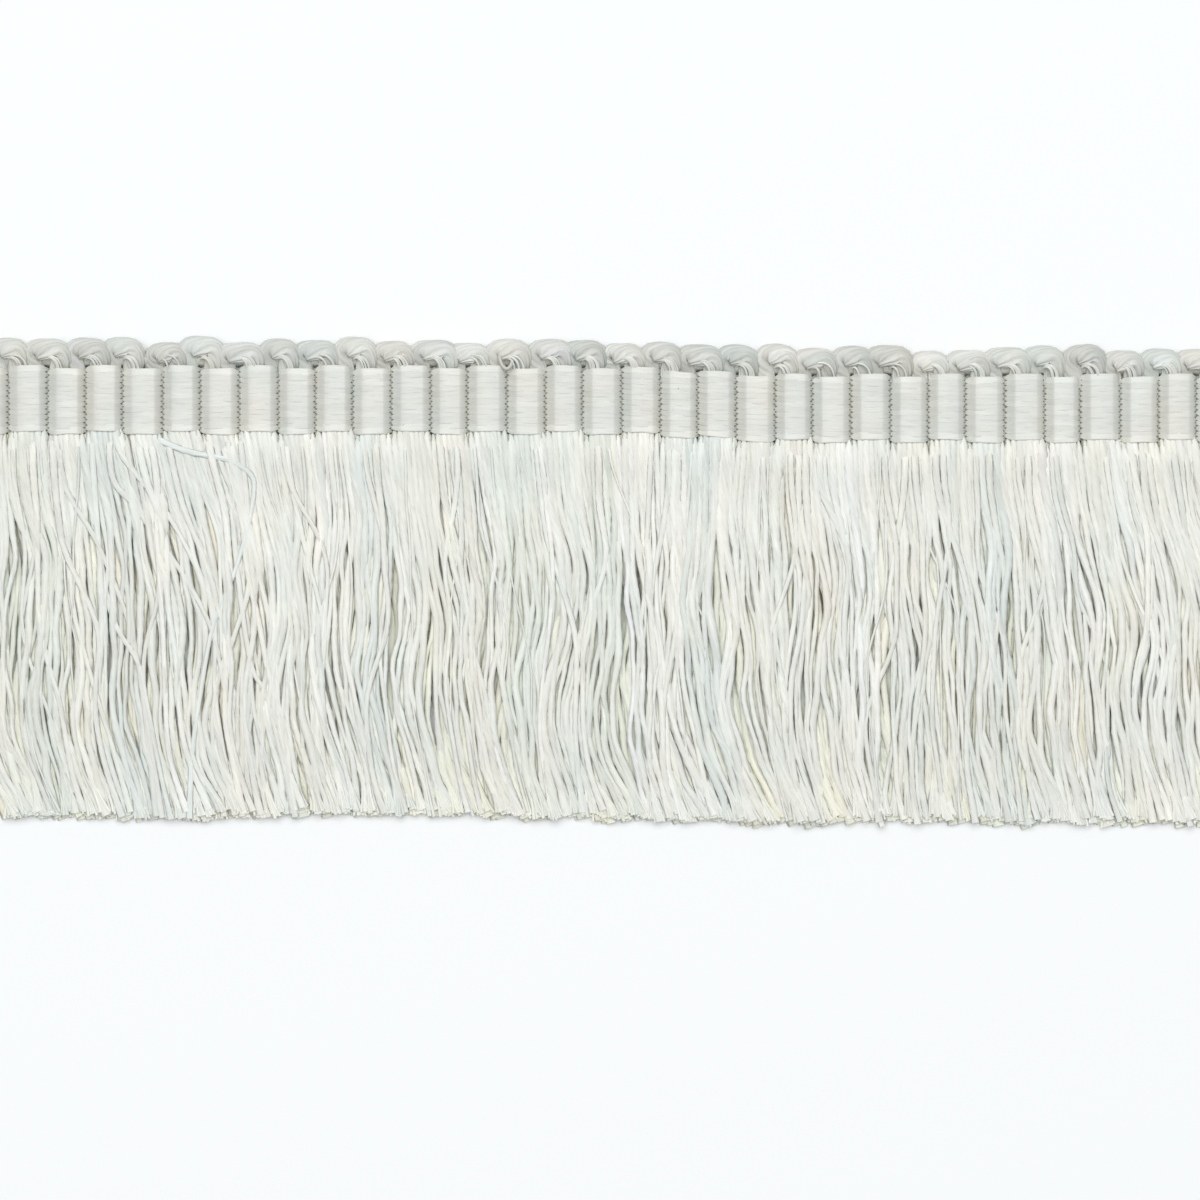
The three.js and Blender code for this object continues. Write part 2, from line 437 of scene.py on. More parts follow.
# The weft inside the ribs, down a rib: at is the share of its height, and fill is the share of its thickness
CORE_ROWS = np.array([
    # at, fill
    (-0.5, 0.55),
    (-0.47, 0.97),
    (-0.25, 1.0),
    (0.0, 1.0),
    (0.25, 1.0),
    (0.47, 0.97),
    (0.5, 0.55),
])
CORE_DROP = RIB_DROP - 0.25
CORE_HALF = RIB_MIDDLE - 1.35 * END_THICK
CORE_THIN = 0.06  # the share of its thickness that is left in a valley
# painted shade: the weft core is coloured far darker than its yarn, for the shade that shows in the valleys
# between the ribs
CORE_SHADE_TINT = [0.30, 0.31, 0.27, 1.0]


def rib_places():
    """Places along the trim where an end has a ring, with the rib, climb and width at each."""
    ribs = np.append(np.repeat(np.arange(RIB_COUNT), len(END_STATIONS)), RIB_COUNT - 1)
    rows = np.concatenate([np.tile(END_STATIONS, (RIB_COUNT, 1)), [LAST_STATION]])
    jitter = np.clip(VALLEY_SPREAD * rng.normal(size=RIB_COUNT + 1), -2 * VALLEY_SPREAD, 2 * VALLEY_SPREAD)
    jitter[[0, -1]] = 0
    valleys = valley_place(np.arange(RIB_COUNT + 1)) + jitter
    x = valleys[ribs] * (1 - rows[:, 0]) + valleys[ribs + 1] * rows[:, 0]
    return x, ribs + FIRST_RIB, rows[:, 1], rows[:, 2]


RIB_X, RIB_OF, CLIMB, END_WIDTH = rib_places()


def make_warp(material):
    """The warp ends: flat ribbons along the whole trim, each above every other rib."""
    strands = Strands(END_CORNERS)
    reach = RIB_MIDDLE - END_THICK / 2
    sink = VALLEY_SINK * (1 - CLIMB)
    shares = (RIB_X - RIB_X[0]) / LENGTH
    for parity in (0, 1):
        above = np.where(RIB_OF % 2 == parity, 1.0, -1.0)
        rows = (np.arange(ENDS_PER_SET) + 0.5) * END_PITCH + HEADING_FOOT + stagger(parity)
        waver = waves(ENDS_PER_SET, shares, END_WAVER)
        lift = waves(ENDS_PER_SET, shares, END_LIFT)
        y = rows[:, None] + bow(RIB_X)[None] + waver
        z = RIB_MIDDLE + (reach * above * CLIMB - sink)[None] + lift * (above > 0)[None]
        paths = np.stack([np.broadcast_to(RIB_X, y.shape), y, z], axis=2)
        across = 0.5 * END_PITCH * END_WIDTH[None] * (1 + waves(ENDS_PER_SET, shares, END_SWELL))
        deep = np.full(y.shape, END_THICK / 2)
        tints = END_TONE * plain_tints(ENDS_PER_SET, own_share=0.3)
        # painted highlight: the outermost end of each set is coloured lighter
        tints[[0, -1]] *= OUTER_END_HIGHLIGHT
        strands.add(paths, across, deep, tints)
    return strands.piece("heading_warp", material)


def make_ribs(material):
    """The weft yarns inside the ribs: one closed ribbed sheet under the warp, coloured dark as painted shade
    for the valleys.
    """
    half = CORE_ROWS[:, 1:] * CORE_HALF * (CORE_THIN + (1 - CORE_THIN) * CLIMB)
    middle = RIB_MIDDLE - VALLEY_SINK * (1 - CLIMB)
    # the weft takes its rib's stagger in the first quarter of the climb
    y = CORE_ROWS[:, :1] * CORE_DROP + stagger(RIB_OF) * np.minimum(1, 4 * CLIMB) + bow(RIB_X)
    x = np.broadcast_to(RIB_X, y.shape)
    sheets = [np.stack([x, y, z], axis=2).reshape(-1, 3) for z in (middle + half, middle - half)]
    points = np.concatenate(sheets)
    rows, columns = y.shape
    back = rows * columns
    faces = []
    for j in range(rows - 1):
        for i in range(columns - 1):
            a = j * columns + i
            faces.append((a, a + 1, a + columns + 1, a + columns))
            faces.append((back + a, back + a + columns, back + a + columns + 1, back + a + 1))
    for i in range(columns - 1):
        low, high = i, (rows - 1) * columns + i
        faces.append((low, back + low, back + low + 1, low + 1))
        faces.append((high, high + 1, back + high + 1, back + high))
    for j in range(rows - 1):
        left, right = j * columns, (j + 1) * columns - 1
        faces.append((left, left + columns, back + left + columns, back + left))
        faces.append((right, back + right, back + right + columns, right + columns))
    # painted shade: one dark colour for the whole weft, seen where the valleys between the warp ends show it
    tints = np.tile(CORE_SHADE_TINT, (len(points), 1))
    return strand_piece("heading_ribs", points * MM, faces, material, tints, points)


# Looped edge: each bundle of weft leaves one rib, turns over the valley and goes down into the next rib

# How many corners of a bundle's cross-section each ply takes up
PLY_SIZES = [4, 6, 5, 4, 7, 5, 4, 6, 5, 5, 4]
BUNDLE_STEPS = 26
# Along a bundle: its place from the valley line, from the heading's upper edge and in height, its half sizes
# across and deep, and the share of them that the grooves between its plies take away
BUNDLE_ROUTE = np.array([
    # along, rise, height, across, deep, groove
    (-1.45, -1.30, 0.85, 1.10, 0.62, 0.06),
    (-1.50, 0.00, 0.84, 1.34, 0.72, 0.07),
    (-1.62, 1.10, 1.00, 1.46, 0.86, 0.08),
    (-1.50, 2.20, 1.30, 1.46, 1.00, 0.10),
    (0.02, 2.46, 1.52, 1.42, 1.12, 0.12),
    (1.58, 2.22, 1.62, 1.46, 1.00, 0.15),
    (1.84, 1.20, 1.52, 1.42, 0.86, 0.20),
    (1.60, 0.10, 1.24, 1.30, 0.72, 0.22),
    (1.45, -1.30, 1.02, 1.10, 0.60, 0.18),
])
BUNDLE_SQUARE = (0.42, 0.85)  # on the inside and on the outside of its turn; below 1 is fuller
# How uneven the bundles are: in size, along the trim and in height, with their turns of twist and tones
BUNDLE_SIZE_SPREAD = 0.11
BUNDLE_SIZE_LIMITS = (-1.6, 1.6)
BUNDLE_SHIFT = 0.2
BUNDLE_LIFT = 0.06
BUNDLE_TURNS = 0.62
BUNDLE_TURNS_SPREAD = 0.12
BUNDLE_SLACK = [(0.6, 0.030), (1.5, 0.022)]  # turns, reach
BUNDLE_TONE = 0.765
BUNDLE_TONE_SPREAD = 0.045
BUNDLE_TONE_LIMITS = (0.68, 0.85)
BUNDLE_TINT_SPACING = 21.0
# The yarn behind the bundles: its place above the heading's upper edge and in height, and its half sizes
BACKING = {"rise": 1.25, "height": 0.98, "across": 0.95, "deep": 0.72}
BACKING_MARGIN = 0.6  # between its ends and the trim's
BACKING_STEPS = 6  # for each rib
BACKING_SWELL = 0.05
BACKING_TINT = np.array([[0.66, 0.67, 0.60]])
# A fan of loose plies: the innermost ply, from the valley line, from the heading's upper edge and in height,
# and how much further the outermost one reaches in each
PLY_CORNERS = 8
PLY_STEPS = 14
PLY_FAN = np.array([
    # along, rise, height, further along, further in rise, further in height
    (0.00, 1.05, 1.90, 0.15, 0.50, 0.05),
    (0.34, 1.20, 2.52, 0.40, 0.52, 0.10),
    (0.70, 0.92, 2.68, 0.90, 0.62, 0.04),
    (0.92, 0.44, 2.56, 1.30, 0.50, 0.06),
    (1.00, -0.05, 2.28, 1.52, 0.12, 0.06),
    (1.02, -0.80, 1.75, 1.55, 0.00, 0.00),
])
# A fan has two to five plies, between a first place and a last place in it, as shares of its reach.
PLY_COUNTS = (2, 5)
FAN_FIRST = 0.35
FAN_LAST = (0.65, 1.0)
PLY_SPREAD = 0.3  # how unevenly they lie between the two, in spaces between plies
PLY_LIFT = 0.04
PLY_HALF_WIDTHS = (0.11, 0.18)
PLY_FLAT = 0.9
PLY_SWELL = 0.12
PLY_SWELL_TURNS = 2.2
PLY_TONE = 0.88
# One ply hangs slack over the heading's edge at this valley.
SLACK_VALLEY = 14
SLACK_HALF_WIDTH = 0.25
SLACK_FLAT = 0.8
SLACK_TONE = 0.66
SLACK_PLY = np.array([
    # along, rise, height
    (-0.95, 2.00, 2.10),
    (-0.85, 1.15, 2.55),
    (-0.50, 0.30, 2.68),
    (0.05, -0.12, 2.70),
    (0.55, 0.25, 2.68),
    (0.80, 1.00, 2.50),
    (0.85, 1.80, 2.00),
])


def edge_path(valley, route, shift=0.0, lift=0.0):
    """The path of one strand of the looped edge; its route starts with along, rise and height."""
    x = valley_place(valley) + route[:, 0] + shift
    return np.stack([x, HEADING_TOP + bow(x) + route[:, 1], route[:, 2] + lift], axis=1)[None]


def make_loops(material):
    """The bundles of weft that turn over the valleys, each one body with grooves between its plies."""
    plies = len(PLY_SIZES)
    strands = Strands(ring(np.ones(sum(PLY_SIZES))))
    count = RIB_COUNT + 1
    bundle_tints = tint_groups(np.arange(count) * PITCH, BUNDLE_TINT_SPACING)
    ply_of = np.repeat(np.arange(plies), PLY_SIZES)
    ridge = np.concatenate([np.sin(math.pi * np.arange(size) / size) for size in PLY_SIZES])
    for valley in range(count):
        # a bundle at either end of the trim is cut off where it turns outwards
        start = 0.5 if valley == 0 else 0.0
        finish = 0.5 if valley == count - 1 else 1.0
        places = np.linspace(start, finish, BUNDLE_STEPS)
        size = 1 + BUNDLE_SIZE_SPREAD * np.clip(rng.normal(size=3), *BUNDLE_SIZE_LIMITS)
        route = spline(BUNDLE_ROUTE, places) * np.array([size[0], size[1], 1, 1, 1, 1])
        path = edge_path(valley, route, BUNDLE_SHIFT * rng.normal(), BUNDLE_LIFT * rng.normal())
        turns = BUNDLE_TURNS + BUNDLE_TURNS_SPREAD * rng.normal()
        twist = turns * 2 * math.pi * places + TURN * rng.random()
        slack = 1 + waves(plies, places, BUNDLE_SLACK)[ply_of].T
        form = slack * (1 - route[:, 5:] * (1 - ridge[None]))
        tone = np.clip(BUNDLE_TONE + BUNDLE_TONE_SPREAD * rng.normal(), *BUNDLE_TONE_LIMITS)
        tints = tone * strand_tints(np.repeat([bundle_tints[valley]], plies, axis=0), own_share=0.8)
        across, deep = route[None, :, 3], route[None, :, 4]
        strands.add(path, across, deep, tints[ply_of], twist[None], form[None], BUNDLE_SQUARE)
    return strands.piece("looped_edge_bundles", material)


def make_plies(material):
    """Plies that have come loose from the bundles and turn down into the ribs one by one."""
    strands = Strands(ring(np.ones(PLY_CORNERS)))
    places = np.linspace(0, 1, PLY_STEPS)
    for valley in range(1, RIB_COUNT):
        count = int(rng.integers(PLY_COUNTS[0], PLY_COUNTS[1] + 1))
        tints = PLY_TONE * plain_tints(count, own_share=0.6)
        first, last = FAN_FIRST * rng.random(), rng.uniform(*FAN_LAST)
        for ply in range(count):
            share = first + (last - first) * (ply + PLY_SPREAD * rng.normal()) / max(count - 1, 1)
            route = spline(PLY_FAN[:, :3] + share * PLY_FAN[:, 3:], places)
            path = edge_path(valley, route, lift=PLY_LIFT * rng.normal())
            half = rng.uniform(*PLY_HALF_WIDTHS)
            swell = np.sin(TURN * (PLY_SWELL_TURNS * places + rng.random()))
            half = (half * (1 + PLY_SWELL * swell))[None]
            strands.add(path, half, PLY_FLAT * half, tints[ply:ply + 1])
    path = edge_path(SLACK_VALLEY, spline(SLACK_PLY, places))
    half = np.full((1, PLY_STEPS), SLACK_HALF_WIDTH)
    strands.add(path, half, SLACK_FLAT * half, SLACK_TONE * WARM_TINT[None])
    return strands.piece("looped_edge_plies", material)


def make_backing(material):
    """The yarn that shows between the legs of the bundles."""
    start = -LENGTH / 2 + BACKING_MARGIN
    x = np.linspace(start, -start, BACKING_STEPS * RIB_COUNT + 1)
    path = np.stack([x, HEADING_TOP + BACKING["rise"] + bow(x), np.full(len(x), BACKING["height"])], axis=1)
    swell = (1 + BACKING_SWELL * np.cos(4 * math.pi * (x - x[0]) / PITCH))[None]
    strands = Strands(ring(YARN_RADII))
    strands.add(path[None], BACKING["across"] * swell, BACKING["deep"] * swell, BACKING_TINT)
    return strands.piece("looped_edge_backing", material)


# Fringe: layers of yarns that hang from the ribs in locks

YARN_STEPS = 38
# The steps along a yarn, as shares of its drop, a little closer together near the heading
YARN_SHARES = np.linspace(0, 1, YARN_STEPS) ** 1.06
# How wide and how deep a yarn is along its drop: flat where it leaves the heading, and flared at its cut end
YARN_FORM = np.array([
    # share, width, depth
    (0.0, 0.62, 0.54),
    (0.012, 1.10, 0.50),
    (0.03, 1.42, 0.46),
    (0.16, 1.40, 0.44),
    (0.38, 1.08, 0.60),
    (0.76, 1.0, 0.64),
    (0.90, 1.16, 0.50),
    (1.0, 1.50, 0.30),
])
YARN_WIDTHS = np.interp(YARN_SHARES, YARN_FORM[:, 0], YARN_FORM[:, 1])
YARN_DEPTHS = np.interp(YARN_SHARES, YARN_FORM[:, 0], YARN_FORM[:, 2])

# Lean of the hanging yarns in degrees, positive where they run down to the right: a row for each place along
# the trim, a column for each share of the drop
LEAN_SHARES = [0.08, 0.21, 0.40, 0.58, 0.74, 0.92]
LEANS = [
    # place, leans
    (-76.0, [1, 7, -1, -3, 7, 21]),
    (-57.0, [14, 18, 5, -1, 4, 17]),
    (-37.0, [4, 5, -2, -7, 5, 15]),
    (-23.0, [5, 12, 7, -4, 4, 17]),
    (-7.0, [5, 7, 2, -6, 0, 12]),
    (18.0, [-4, 2, 2, 0, 9, 24]),
    (33.0, [2, 6, 5, -2, 0, 11]),
    (53.0, [1, 9, 6, -1, 2, 12]),
    (69.0, [8, 16, 8, -1, 3, 14]),
]

YARNS_PER_RIB = 7  # in each layer
# Each layer: height of its yarns' middles and their swell halfway down, a yarn's width, the layer's shift in
# yarns, how far its locks wander, the extra length of its ends, where its roots lie inside a rib (-1 at its
# back, 1 at its front), its share of the deeper tints, its tone, and whether its ends have loose plies
LAYERS = [
    {"name": "fringe_low", "height": 0.44, "swell": 0.04, "wide": 1.02, "shift": -0.33, "wander": 0.75,
     "extra": 0.05, "root": -1.0, "deeper": 0.4, "tone": (0.97, 0.97, 0.905), "frayed": False},
    {"name": "fringe_middle", "height": 1.00, "swell": 0.24, "wide": 0.92, "shift": 0.33, "wander": 0.95,
     "extra": -0.15, "root": 0.0, "deeper": 0.35, "tone": (1.0, 0.995, 0.935), "frayed": True},
    {"name": "fringe_top", "height": 1.45, "swell": 0.38, "wide": 0.82, "shift": 0.0, "wander": 1.15,
     "extra": -0.35, "root": 1.0, "deeper": 0.12, "tone": (0.98, 0.98, 0.975), "frayed": True},
]
TOP_LAYER = LAYERS[-1]
# How the layers lie: lower towards the cut ends, puffed up just below the heading, and swollen halfway down
SETTLING = 0.40
SETTLING_SHARES = (0.70, 0.97)
PUFF = 0.84
PUFF_SHARE = 0.04
PUFF_REACH = 0.09
SWELL_PACE = 1.1

ROOT_REACH = 0.47  # how far the roots spread to either side of a rib's middle, in pitches
ROOT_SPREAD = 0.06  # how uneven their places are
ROOT_ROOM = RIB_MIDDLE - 1.5 * END_THICK  # half the room for them inside a full rib
ROOT_MARGIN = 0.22  # what they keep free of it
ROOT_TUCK = 0.7  # how far they reach up into a full rib
ROOT_DROP = 0.35  # how far below the heading they start in a valley
# Shares of the drop by which a yarn has come out of the heading, has reached its place, and wanders freely
LEAVE_SHARES = (0.0, 0.024)
SPREAD_SHARES = (0.0, 0.12)
FREE_SHARES = (0.04, 0.42)
LOCK_YARNS = (3, 7)  # the fewest and the most yarns in a lock
DRAW_MOST = 0.33  # how much a lock draws together at most
DRAW_POWER = 1.3
DRAW_PLACES = (0.45, 0.85)  # where it does so, as shares of the drop
DRAW_REACHES = (0.16, 0.30)
# Turns and reach of the waves of locks and yarns: along the trim, in height, and of a yarn's width
LOCK_WAVES = [(0.55, 0.42), (1.15, 0.40), (2.1, 0.24), (3.4, 0.11)]
YARN_WAVES = [(1.4, 0.20), (2.9, 0.18), (5.2, 0.11), (8.5, 0.05)]
LOCK_LIFT = 0.16
LOCK_LIFT_WAVES = [(0.8, 0.7), (1.9, 0.6)]
YARN_LIFT = 0.10
YARN_LIFT_WAVES = [(2.3, 1.0), (5.5, 0.8)]
WIDTH_SWELL = 0.10
WIDTH_WAVES = [(3.0, 1.0), (6.5, 0.8)]
WIDTH_SPREAD = 0.18
WIDTH_LIMITS = (0.7, 1.5)
TWIST_TURNS = (1.5, 3.0)
LOCK_TINT_SPACING = 26.0
DEEP_TINT_SPACING = 17.0
DEEP_POWER = 0.7
CUT_SPREAD = 0.25  # how uneven the yarns' cut ends are
LOCK_CUT_SPREAD = 0.20  # and how uneven whole locks are
CUT_DRIFT = 3.5  # how far the cut ends lie to the right of the roots, for the line below
# How much shorter the fringe is cut along the trim
CUT_LINE = np.array([
    # place, shortening
    (-84.0, 0.0),
    (-63.0, 0.08),
    (-48.0, 0.30),
    (-30.0, 0.41),
    (-14.0, 0.05),
    (3.0, -0.36),
    (18.0, 0.10),
    (36.0, 0.72),
    (66.0, 0.32),
    (86.0, 0.20),
])


def leans(places, shares):
    """Lean in degrees of the yarn at each place along the trim, at each share of its drop."""
    known = np.array([row[0] for row in LEANS])
    table = np.array([row[1] for row in LEANS], float)
    at_places = np.stack([np.interp(places, known, column) for column in table.T], axis=1)
    return np.stack([np.interp(shares, LEAN_SHARES, row) for row in at_places])


def hang(even, top, foot):
    """The drift in X and the path in Y of yarns that follow the general lean of the fringe."""
    shares = YARN_SHARES
    y = top[:, None] + (foot - top)[:, None] * shares[None]
    slope = np.tan(np.radians(leans(even, shares)))
    drop = (top - foot)[:, None]
    steps = 0.5 * (slope[:, 1:] + slope[:, :-1]) * np.diff(shares)[None] * drop
    drift = np.concatenate([np.zeros((len(even), 1)), np.cumsum(steps, axis=1)], axis=1)
    return drift, y


def lie(layer, shares):
    """How high the middles of a layer's yarns lie."""
    level = layer["height"] * (1 - SETTLING * smooth(*SETTLING_SHARES, shares))
    puff = PUFF * np.exp(-(((shares - PUFF_SHARE) / PUFF_REACH) ** 2))
    puff = puff * layer["height"] / TOP_LAYER["height"]
    return level + layer["swell"] * np.sin(math.pi * np.minimum(1, shares * SWELL_PACE)) + puff


def draw_locks(even):
    """Gathers yarns into locks, which draw together somewhere below their middle.
    Gives each yarn's lock, the locks' middles along the trim, and each yarn's place at each step."""
    count = len(even)
    sizes = rng.integers(LOCK_YARNS[0], LOCK_YARNS[1] + 1, size=count)
    lock_of = np.repeat(np.arange(count), sizes)[:count]
    middles = np.bincount(lock_of, even) / np.bincount(lock_of)
    each_lock = (len(middles), 1)
    draw = DRAW_MOST * rng.random(each_lock) ** DRAW_POWER
    where = rng.uniform(*DRAW_PLACES, size=each_lock)
    reach = rng.uniform(*DRAW_REACHES, size=each_lock)
    closeness = 1 - draw * np.exp(-(((YARN_SHARES[None] - where) / reach) ** 2))
    offset = (even - middles[lock_of])[:, None] * closeness[lock_of]
    return lock_of, middles, middles[lock_of][:, None] + offset


def make_layer(layer, ends, material):
    """One layer of yarns as a piece; the loose plies of its cut ends go into ends."""
    shares = YARN_SHARES
    count = RIB_COUNT * YARNS_PER_RIB
    index = np.arange(count)
    rib = index // YARNS_PER_RIB + FIRST_RIB
    lane = (index % YARNS_PER_RIB + 0.5 + layer["shift"]) / YARNS_PER_RIB * 2 - 1
    roots = (rib + ROOT_REACH * lane) * PITCH + ROOT_SPREAD * rng.normal(size=count)
    even = (rib + 0.5 * lane) * PITCH
    climb = np.interp(0.5 + ROOT_REACH * lane, END_STATIONS[:, 0], END_STATIONS[:, 1])
    lock_of, middles, gathered = draw_locks(even)
    locks = len(middles)

    lock_swing = layer["wander"] * waves(locks, shares, LOCK_WAVES)[lock_of]
    swing = lock_swing + waves(count, shares, YARN_WAVES)
    top = HEADING_FOOT + stagger(rib) + ROOT_TUCK * climb ** 3 - ROOT_DROP * (1 - climb) + bow(roots)
    foot = HEADING_FOOT - FRINGE_DROP - layer["extra"] + CUT_SPREAD * rng.normal(size=count) + bow(even)
    shortening = np.interp(even + CUT_DRIFT, CUT_LINE[:, 0], CUT_LINE[:, 1])
    foot += LOCK_CUT_SPREAD * rng.normal(size=locks)[lock_of] + shortening
    drift, y = hang(even, top, foot)
    spread = smooth(*SPREAD_SHARES, shares)
    free = smooth(*FREE_SHARES, shares)
    x = roots[:, None] * (1 - spread) + gathered * spread + drift + swing * free

    inside = ROOT_ROOM * climb - ROOT_MARGIN
    root_height = RIB_MIDDLE - VALLEY_SINK * (1 - climb) + layer["root"] * np.maximum(inside, 0)
    leave = smooth(*LEAVE_SHARES, shares)
    lock_lift = LOCK_LIFT * waves(locks, shares, LOCK_LIFT_WAVES)[lock_of]
    lift = lock_lift + YARN_LIFT * waves(count, shares, YARN_LIFT_WAVES)
    z = root_height[:, None] * (1 - leave) + lie(layer, shares)[None] * leave + lift * free
    half = 0.5 * layer["wide"] * (1 + WIDTH_SPREAD * rng.normal(size=count)).clip(*WIDTH_LIMITS)
    across = half[:, None] * YARN_WIDTHS * (1 + WIDTH_SWELL * waves(count, shares, WIDTH_WAVES))
    deep = across * YARN_DEPTHS / YARN_WIDTHS
    paths = np.stack([x, y, np.maximum(z, deep + FLOOR_GAP)], axis=2)
    twist = TURN * (rng.random((count, 1)) + rng.uniform(*TWIST_TURNS, size=(count, 1)) * shares[None])

    # the lower layers take more of the deeper tints: partly the yarns' own tints, partly painted shade in
    # the gaps between the locks
    deeper = tint_groups(middles, DEEP_TINT_SPACING, DEEP_TINTS, SHARED_DEEP_ROWS)
    share = layer["deeper"] * rng.random((locks, 1)) ** DEEP_POWER
    lock_tints = (1 - share) * tint_groups(middles, LOCK_TINT_SPACING) + share * deeper
    tints = np.array(layer["tone"]) * strand_tints(lock_tints[lock_of], own_share=0.5)
    strands = Strands(ring(YARN_RADII))
    strands.add(paths, across, deep, tints, twist)
    if layer["frayed"]:
        add_frays(ends, paths, across[:, -1:], deep[:, -1:], tints)
    return strands.piece(layer["name"], material)


# Loose plies at each cut end
FRAY_CORNERS = 6
FRAY_STEPS = 5
FRAY_REACH = 2.2  # how many of the yarn's steps they reach up
FRAY_REACHES = (0.6, 1.2)  # the least and the greatest share of that
FRAY_SIDES = [-1.0, 0.0, 1.0]
FRAY_ASIDE = 0.35  # how far aside a ply leaves the yarn, in the yarn's half widths
FRAY_PARTING = 0.55  # how much further aside its end lies
FRAY_HEIGHT = 0.7  # how high it leaves the yarn, in the yarn's half depths
FRAY_FALL = 0.3  # how much lower its end lies
# How uneven the plies' ends are, in millimetres: aside, in length, and in height
FRAY_SPREAD = 0.10
FRAY_LONGER = (-0.45, 0.30)
FRAY_LIFT = 0.04
FRAY_WIDTHS = (0.28, 0.50)
FRAY_THIN = 0.7  # the share of its width with which a ply leaves the yarn
FRAY_FLARE = 0.4  # how much of it is added up to its end
FRAY_FLAT = 0.4  # its depth, in widths
FRAY_TONES = (0.98, 1.05)


def add_frays(strands, paths, end_across, end_deep, tints):
    """Loose plies that part from each yarn at its cut end."""
    at = np.linspace(0, 1, FRAY_STEPS)[None]
    count, steps = paths.shape[:2]
    each = (count, 1)
    rows = np.arange(count)[:, None]
    for side in FRAY_SIDES:
        places = steps - 1 - FRAY_REACH * rng.uniform(*FRAY_REACHES, size=each) * (1 - at)
        low = np.clip(np.floor(places).astype(int), 0, steps - 2)
        share = (places - low)[..., None]
        path = paths[rows, low] * (1 - share) + paths[rows, low + 1] * share
        aside = side * end_across * (FRAY_ASIDE + FRAY_PARTING * at ** 1.5)
        path[..., 0] += aside + FRAY_SPREAD * rng.normal(size=each) * at
        path[..., 1] -= rng.uniform(*FRAY_LONGER, size=each) * at ** 2
        level = end_deep * (FRAY_HEIGHT - FRAY_FALL * at ** 2)
        path[..., 2] += level + FRAY_LIFT * rng.normal(size=each) * at
        half = 0.5 * rng.uniform(*FRAY_WIDTHS, size=each) * (FRAY_THIN + FRAY_FLARE * at)
        path[..., 2] = np.maximum(path[..., 2], FRAY_FLAT * half + FLOOR_GAP)
        own_tints = np.clip(tints * rng.uniform(*FRAY_TONES, size=each), 0, TINT_LIMITS[1])
        strands.add(path, half, FRAY_FLAT * half, own_tints)


# Yarns that cross over the others. Each row of points is a path, in millimetres along and down the trim.
LOOSE_YARN = [(-60.0, -4.6), (-55.0, -6.7), (-49.4, -7.9), (-46.4, -9.8), (-46.0, -12.2), (-46.9, -17.3),
              (-48.6, -22.9), (-51.4, -30.0), (-53.0, -38.5), (-54.2, -47.0), (-54.6, -55.3)]
CROSSING_YARNS = [
    [(-65.0, -4.6), (-64.5, -10.6), (-61.3, -14.5), (-55.0, -23.6), (-51.4, -30.9), (-49.6, -40.0),
     (-47.6, -55.0)],
    [(-64.0, -4.6), (-63.2, -7.5), (-57.1, -15.5), (-52.9, -23.6), (-51.2, -28.4), (-51.0, -40.0),
     (-48.6, -54.8)],
    [(-72.2, -4.6), (-70.6, -12.0), (-66.4, -19.4), (-62.1, -30.8), (-60.4, -41.0), (-58.2, -55.2)],
    [(-63.0, -4.6), (-61.1, -14.1), (-59.0, -18.7), (-58.6, -25.7), (-60.6, -36.0), (-59.0, -55.0)],
    [(-67.4, -4.6), (-66.4, -20.0), (-64.5, -29.0), (-61.3, -34.7), (-60.0, -40.7), (-58.2, -50.2),
     (-57.0, -55.4)],
    [(-49.4, -4.6), (-48.4, -20.0), (-46.5, -34.3), (-44.4, -39.0), (-42.3, -47.4), (-40.6, -55.1)],
    [(-47.8, -4.6), (-46.4, -22.0), (-48.6, -31.2), (-50.5, -36.1), (-51.5, -44.0), (-50.0, -55.0)],
]
CROSSING_LIFT = 0.17  # above the top layer's middles
LOOSE_LIFT = 0.21
OVER_WIDE = 0.78  # width of a yarn that lies over the others
CROSSING_WIDTH = 0.85  # in such widths
LOOSE_WIDTH = 0.8
# Strays: yarns and fine fibre strands that go aside somewhere along their drop
STRAY_COUNT = 56
FINE_COUNT = 26
STRAY_WIDTHS = (0.7, 1.05)
FINE_WIDTHS = (0.25, 0.45)
STRAY_PLACES = 0.49  # how far to either side of the trim's middle they hang, in lengths
STRAY_ROOT_REACH = 0.8  # how far from a rib's middle their roots lie, as a share of their own place
STRAY_TUCK = 0.1  # how far below the lowest ribs they start
STRAY_SHORTER = 0.5
STRAY_CUT_SPREAD = 0.3
STRAY_LIFT = 0.12
STRAY_LIFT_SPREAD = 0.12
STRAY_ASIDE = (1.2, 4.2)  # how far they go aside, in millimetres
STRAY_TO_RIGHT = 0.6  # the share of them that goes to the right
STRAY_BEGIN = (0.02, 0.5)  # where they begin to, as a share of their drop
STRAY_LASTS = (0.25, 0.5)  # and the share of it over which they do
STRAY_FREE_SHARES = (0.03, 0.3)
STRAY_EDGE = 6  # how far from the trim's ends they wander freely
STRAY_FLAT = 0.6
STRAY_TURNS = 2.2
STRAY_TONE = 0.97
ROOT_DEPTH = 0.7  # how far below the top layer's middles yarns that lie over it come out
OUT_SHARES = (0.0, 0.03)


def lie_over(shares, lift):
    """The height of yarns that come out from under the top layer's roots and lie on it."""
    return lie(TOP_LAYER, shares) - ROOT_DEPTH + (lift + ROOT_DEPTH) * smooth(*OUT_SHARES, shares)


def lay_over(rows, lift):
    """A yarn along the points of rows that lies on the top layer."""
    path = spline(np.array(rows), YARN_SHARES)
    return np.column_stack([path, lie_over((HEADING_FOOT - path[:, 1]) / FRINGE_DROP, lift)])


